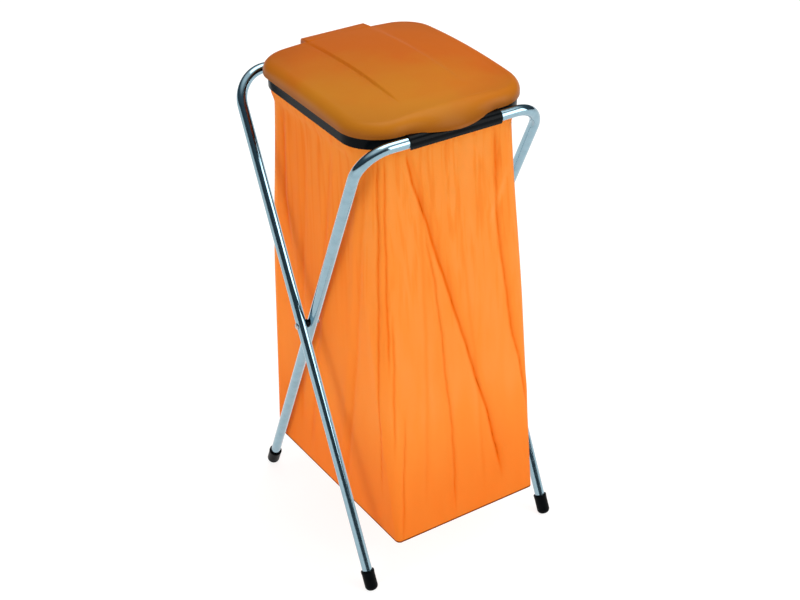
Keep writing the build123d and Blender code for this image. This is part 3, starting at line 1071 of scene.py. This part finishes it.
@dataclass
class FilmBag:
    """Film bag that hangs from the ring: a lofted shell with gathers, folds and a flat bottom."""

    top: float = 854.3
    collar: float = 833.0
    floor: float = 84.0
    top_half: Point = (155.8, 170.8)
    top_corner: float = 57.3
    floor_half: Point = (146.5, 209.0)
    floor_corner: float = 9.0
    floor_shift: Point = (0.0, -8.0)
    floor_skew: float = 10.0
    draw_in: float = 7.0
    straight: float = 0.8
    film: float = 0.3
    floor_round: float = 1.6
    # Heights over the floor up to which the painted shadow along the bottom edge is full, and where
    # it ends.
    base_shadow_height: float = 3.6
    base_shadow_end: float = 5.0
    bulge: float = 2.4
    # Painted shade on the left and right sides of the bag.
    painted_side_shade: float = 0.16
    low_shade: float = 0.26
    top_shade: float = 0.10
    # Painted shadow on the ring along the bag's bottom edge.
    base_edge_shadow: float = 0.90
    floor_shade: float = 0.24
    floor_sag: float = 1.2
    floor_ripple: Point = (0.06, 0.05)
    floor_spacing: float = 0.85
    # Shares of the depth between which the film comes free of the ring, turns darker near the
    # floor, is drawn in and let out again, and between which the painted shade on the sides fades
    # out.
    free_depths: Point = (0.0, 0.05)
    low_depths: Point = (0.62, 1.0)
    draw_depths: Triple = (0.0, 0.04, 0.50)
    side_shade_depths: Point = (0.35, 0.85)
    least_fold: float = 0.01
    fold_reach: float = 90.0
    # Wander of each fold: its size, its turns in height and its shift from fold to fold.
    wobbles: tuple[Triple, ...] = ((0.6, 0.047, 2.3), (0.3, 0.131, 1.1))
    # Slow swells: how many go round, how they turn with the depth, their start and their size.
    swells: tuple[tuple[float, float, float, float], ...] = (
        (7, 2.1, 0.6, 1.2), (13, -3.0, 0.0, 0.6), (29, 5.0, 0.0, 0.2))
    swell_span: float = 1.02
    swell_power: float = 0.8
    rows: int = 84
    face_steps: int = 96
    corner_steps: tuple[int, ...] = (14, 14, 14, 36)
    floor_rings: int = 12

    def outline(self) -> list[float]:
        """Ways round at which the bag has its columns, closest at the front-left corner's folds."""
        made = []
        for face, corner_steps in enumerate(self.corner_steps):
            made += [face + self.straight * k / self.face_steps for k in range(self.face_steps)]
            bend = 1 - self.straight
            made += [face + self.straight + bend * k / corner_steps for k in range(corner_steps)]
        return made

    def sizes(self, depth: float) -> Triple:
        """Half widths across and along, and the corner radius, at a share of the bag's depth."""
        return (
            self.top_half[0] * (1 - depth) + self.floor_half[0] * depth,
            self.top_half[1] * (1 - depth) + self.floor_half[1] * depth,
            self.top_corner * (1 - depth) + self.floor_corner * depth,
        )

    def place(self, depth: float, around: float) -> tuple[Vector, Vector]:
        """Point and outward direction in plan, at a share of the depth and a way round."""
        half_x, half_y, radius = self.sizes(depth)
        face = math.floor(around)
        share = around - face
        out = ((0, -1), (1, 0), (0, 1), (-1, 0))[face % 4]
        out = Vector((float(out[0]), float(out[1])))
        along = Vector((-out.y, out.x))
        reach, run = (half_x, half_y) if out.x else (half_y, half_x)
        spin = math.pi / 2 * max(0.0, share - self.straight) / (1 - self.straight)
        normal = out * math.cos(spin) + along * math.sin(spin)
        middle = out * (reach - radius) + along * (run - radius) * (
            2 * min(1.0, share / self.straight) - 1
        )
        at = middle + normal * radius
        at.x -= self.floor_skew * depth * at.y / half_y
        return at + Vector(self.floor_shift) * depth, normal

    def run(self, depth: float, around: float) -> float:
        """Length in millimetres from the front's left end to a way round."""
        half_x, half_y, radius = self.sizes(depth)
        bend = math.pi / 2 * radius
        flats = (2 * (half_x - radius), 2 * (half_y - radius))
        face = math.floor(around)
        share = around - face
        whole = sum(flats[k % 2] + bend for k in range(face)) if face >= 0 else -sum(
            flats[k % 2] + bend for k in range(face, 0)
        )
        if share < self.straight:
            return whole + flats[face % 2] * share / self.straight
        return whole + flats[face % 2] + bend * (share - self.straight) / (1 - self.straight)

    def folds(self, depth: float, height: float, runs: Sequence[float]) -> list[Point]:
        """How far the film stands out and how dark its folds are, at each column of one row.

        Args:
            depth: Share of the bag's depth.
            height: Height over the floor.
            runs: Length from the front's left end to each column.

        Returns:
            The way out and the darkness of each column.
        """
        whole = self.run(depth, 4.0)
        made = [(0.0, 0.0)] * len(runs)
        for order, crease in enumerate(CREASES):
            fade = crease.strength(height)
            if fade <= self.least_fold:
                continue
            line = self.run(depth, along_path(crease.path, height))
            for size, rate, shift in self.wobbles:
                line += size * math.sin(height * rate + shift * order)
            for k, run in enumerate(runs):
                off = (run - line + whole / 2) % whole - whole / 2
                if abs(off) > self.fold_reach:
                    continue
                away = fade * crease.look.away(off, crease.lean)
                dark = fade * crease.look.dark(off, crease.lean)
                made[k] = made[k][0] + away, made[k][1] + dark
        return made

    def waves(self, depth: float, around: float) -> float:
        """Slow swell of the hanging film at a share of its depth and a way round."""
        turn = math.pi / 2 * around
        free = math.sin(math.pi * min(1.0, depth * self.swell_span)) ** self.swell_power
        return free * sum(
            size * math.sin(count * turn + rate * depth + start)
            for count, rate, start, size in self.swells
        )

    def ring(
        self, mesh: bmesh.types.BMesh, layer: bmesh.types.BMLayerItem,
        places: Sequence[Vector], darkness: Sequence[float],
    ) -> list[bmesh.types.BMVert]:
        """Adds one ring of points with the fold's darkness at each."""
        ring = []
        for place, dark in zip(places, darkness):
            vert = mesh.verts.new(place * MM)
            vert[layer] = dark
            ring.append(vert)
        return ring

    def wall(self, height: float, columns: Sequence[float]) -> tuple[list[Vector], list[float]]:
        """Places and darkness of the wall's points at a height."""
        depth = max(0.0, (self.collar - height) / (self.collar - self.floor))
        runs = [self.run(depth, around) for around in columns]
        folds = self.folds(depth, height, runs)
        free = smooth_step(*self.free_depths, depth)
        low = smooth_step(*self.low_depths, depth)
        # The film's weight draws it in under the ring.
        start, most, end = self.draw_depths
        drawn = self.draw_in * smooth_step(start, most, depth) * (1 - smooth_step(most, end, depth))
        places, darkness = [], []
        for around, (away, dark) in zip(columns, folds):
            at, normal = self.place(depth, around)
            out = min(self.bulge, free * (away + self.waves(depth, around))) - drawn
            at = at + normal * out
            places.append(Vector((at.x, at.y, height)))
            # Painted shade on the left and right sides, strongest above and fading out lower down.
            side_shade = math.sin(math.pi / 2 * around) ** 2 if math.floor(around) % 2 else 0.0
            side_shade *= self.painted_side_shade * (1 - smooth_step(*self.side_shade_depths, depth))
            # Painted shadow: a dark line along the bottom edge, where the bag stands on its floor.
            base_shadow = 1 - smooth_step(self.base_shadow_height, self.base_shadow_end, height - self.floor)
            plain = self.low_shade * low + self.top_shade * (1 - free)
            darkness.append((dark + side_shade) * free + plain + base_shadow)
        return places, darkness

    def build(self, film: bpy.types.Material) -> None:
        """Lofts the bag's wall, closes its floor and gives the film its thickness."""
        mesh = bmesh.new()
        layer = mesh.verts.layers.float.new("fold")
        columns = self.outline()
        heights = [self.top, (self.top + self.collar) / 2, self.collar]
        drop = self.collar - self.floor - self.floor_round
        heights += [self.collar - drop * k / self.rows for k in range(1, self.rows)]
        heights += [
            self.floor + over for over in (self.base_shadow_end, self.base_shadow_height, self.floor_round)]
        rings = []
        for height in heights:
            places, darkness = self.wall(height, columns)
            rings.append(self.ring(mesh, layer, places, darkness))
        middle = Vector(self.floor_shift)
        inner = []
        for at in places:
            flat = at.xy + (middle - at.xy).normalized() * self.floor_round
            inner.append(Vector((flat.x, flat.y, self.floor)))
        rings.append(self.ring(mesh, layer, inner, [self.base_edge_shadow] * len(inner)))
        for k in range(1, self.floor_rings):
            share = (k / self.floor_rings) ** self.floor_spacing
            places = []
            for at in inner:
                flat = at.xy.lerp(middle, share)
                across, along = self.floor_ripple
                ripple = math.sin(flat.x * across) * math.cos(flat.y * along)
                sag = self.floor_sag * share * (1 + ripple)
                places.append(Vector((flat.x, flat.y, self.floor + sag)))
            rings.append(self.ring(mesh, layer, places, [self.floor_shade] * len(places)))
        for upper, lower in zip(rings, rings[1:]):
            for k in range(len(columns)):
                mesh.faces.new((upper[k - 1], lower[k - 1], lower[k], upper[k]))
        centre = self.ring(
            mesh, layer, [Vector((middle.x, middle.y, self.floor + self.floor_sag))],
            [self.floor_shade],
        )[0]
        for k in range(len(columns)):
            mesh.faces.new((rings[-1][k - 1], centre, rings[-1][k]))
        bag = thick_shell(mesh, "film_bag", self.film)
        dress(bag, film, Body.RING, Slot.ORANGE_FILM, "bag")
        bag.visible_glossy = False
        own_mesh(bag)


# Studio


@dataclass
class Studio:
    """White floor and backdrop, soft lights and the camera at the photograph's place."""

    eye: Triple = (-1100.4, -1846.4, 1807.0)
    azimuth: float = -31.0
    elevation: float = 32.59
    roll: float = -1.31
    lens: float = 64.28
    sensor: float = 36.0
    floor_size: float = 60.0
    floor_gap: float = 0.5
    paper: tuple[str, str] = ("8C8C8C", "929292")
    paper_light: float = 0.84
    tooth_mm: float = 1000 / 240
    # Colour of the light from all round, and the bands that the gloss shows from below to above.
    ambient: str = "ADA7A0"
    bands: tuple[tuple[float, str], ...] = (
        (0.0, "FFFFFF"), (0.42, "AFBCC3"), (0.50, "2C383F"), (0.80, "52626B"), (0.95, "FFFFFF"))

    def camera(self) -> None:
        """Sets up the camera."""
        a, e, r = (math.radians(v) for v in (self.azimuth, self.elevation, self.roll))
        back = Vector((math.sin(a) * math.cos(e), -math.cos(a) * math.cos(e), math.sin(e)))
        right = Vector((math.cos(a), math.sin(a), 0))
        above = back.cross(right)
        across = right * math.cos(r) + above * math.sin(r)
        upward = above * math.cos(r) - right * math.sin(r)
        data = bpy.data.cameras.new("camera")
        data.lens, data.sensor_width = self.lens, self.sensor
        data.clip_start, data.clip_end = 0.05, 60.0
        camera = bpy.data.objects.new("camera", data)
        turn = Matrix((across, upward, back)).transposed().to_4x4()
        camera.matrix_world = Matrix.Translation(Vector(self.eye) * MM) @ turn
        bpy.context.collection.objects.link(camera)
        bpy.context.scene.camera = camera

    def lamp(
        self, name: str, place: Sequence[float], size: float, power: float, shines: bool = True
    ) -> None:
        """Hangs a square soft lamp that faces the middle of the stand, seen in gloss or not."""
        data = bpy.data.lights.new(name, "AREA")
        data.shape, data.size, data.energy = "SQUARE", size, power
        lamp = bpy.data.objects.new(name, data)
        lamp.visible_glossy = shines
        lamp.location = place
        aim = Vector((0, 0, 0.5)) - Vector(place)
        lamp.rotation_euler = aim.to_track_quat("-Z", "Y").to_euler()
        bpy.context.collection.objects.link(lamp)

    def world(self) -> None:
        """White to the eye, even light on surfaces, and bands of light and dark in the gloss."""
        world = bpy.data.worlds.new("studio")
        bpy.context.scene.world = world
        world.use_nodes = True
        tree = world.node_tree
        tree.nodes.clear()
        look = add_node(tree, "ShaderNodeTexCoord").outputs["Generated"]
        axes = add_node(tree, "ShaderNodeSeparateXYZ", {"Vector": look})
        height = add_node(tree, "ShaderNodeMapRange", {
            "Value": axes.outputs["Z"], "From Min": -1.0, "From Max": 1.0})
        bands = add_node(tree, "ShaderNodeValToRGB", {"Fac": height.outputs["Result"]})
        set_ramp(bands, self.bands)
        ray = add_node(tree, "ShaderNodeLightPath")
        lit = add_node(tree, "ShaderNodeMix", {
            0: ray.outputs["Is Glossy Ray"], 6: linear(self.ambient), 7: bands.outputs["Color"]},
            data_type="RGBA")
        seen = add_node(tree, "ShaderNodeMix", {
            0: ray.outputs["Is Camera Ray"], 6: lit.outputs[2], 7: linear("FFFFFF")},
            data_type="RGBA")
        shine = add_node(tree, "ShaderNodeBackground", {"Color": seen.outputs[2], "Strength": 1.0})
        add_node(tree, "ShaderNodeOutputWorld", {"Surface": shine.outputs["Background"]})

    def stage(self) -> None:
        """Lays the pale floor."""
        floor = start_with(
            bpy.ops.mesh.primitive_plane_add, "studio_floor", (0, 0, -self.floor_gap),
            size=self.floor_size)
        settle(floor)
        material, tree = empty_material("matt_white_paper")
        place = add_node(tree, "ShaderNodeTexCoord").outputs["Object"]
        tooth = add_node(tree, "ShaderNodeTexNoise", {
            "Vector": place, "Scale": 1 / (self.tooth_mm * MM)})
        colour = add_node(tree, "ShaderNodeValToRGB", {"Fac": tooth.outputs["Fac"]})
        set_ramp(colour, [(0.3, self.paper[0]), (0.7, self.paper[1])])
        shader = add_node(tree, "ShaderNodeBsdfPrincipled", {
            "Base Color": colour.outputs["Color"], "Roughness": 0.9, "Specular IOR Level": 0.1,
            "Emission Color": linear("FFFFFF"), "Emission Strength": self.paper_light})
        add_node(tree, "ShaderNodeOutputMaterial", {"Surface": shader.outputs["BSDF"]})
        floor.data.materials.append(material)

    def build(self) -> None:
        """Puts up the floor, the lights, the world and the camera."""
        bpy.context.scene.view_settings.view_transform = "Standard"
        self.camera()
        self.world()
        self.stage()
        self.lamp("key", (1.9, -2.6, 1.8), size=2.4, power=72)
        self.lamp("fill", (-3.2, -1.1, 1.0), size=2.4, power=54, shines=False)
        self.lamp("top", (0.5, 0.1, 3.2), size=1.8, power=32)
        self.lamp("rear", (1.6, 2.8, 1.0), size=2.4, power=40, shines=False)


def dress_node(name: str, material: bpy.types.Material) -> None:
    """Gives a CAD node that stays a better material."""
    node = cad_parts[name]
    for slot in node.material_slots:
        slot.material = material
    log.info("%s: kept from the packed model", name)


def main() -> None:
    """Builds the studio and every piece in order."""
    logging.basicConfig(level=logging.INFO, format="%(message)s")
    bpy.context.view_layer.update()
    Studio().build()
    chrome = ChromedSteel().material()
    zinc = ChromedSteel(
        name="zinc_plated_rivet", bright="C9CDCE", dull="8F9698", roughness=0.32, haze_mm=3.0,
    ).material()
    black = MouldedPlastic(
        name="moulded_black_polypropylene", main="05090D", second="020406", roughness=0.24,
        cloud_mm=30.0, grain_mm=1.4, grain_strength=0.06, specular=0.06,
    ).material()
    soft_black = MouldedPlastic(
        name="moulded_black_pvc", main="04070A", second="010203", roughness=0.34,
        cloud_mm=12.0, grain_mm=1.0, grain_strength=0.10, specular=0.05,
    ).material()
    outer = TubeFrame("outer_frame", Body.OUTER_FRAME, half_width=189.7, bar=End.REAR)
    inner = TubeFrame("inner_frame", Body.INNER_FRAME, half_width=168.5, bar=End.FRONT)
    for tube, caps in ((outer, "front_caps"), (inner, "rear_caps")):
        tube.build(chrome)
        for side in Side:
            tube.build_cap(side, caps, soft_black)
    for side in Side:
        Pivot().build(side, zinc)
    for name in ("pivot_spacers", "bag_ring", "grip_ring"):
        dress_node(name, black)
    FilmBag().build(BagFilm().material())
    Lid().build(MouldedLid().material())
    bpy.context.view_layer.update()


if __name__ == "__main__":
    main()
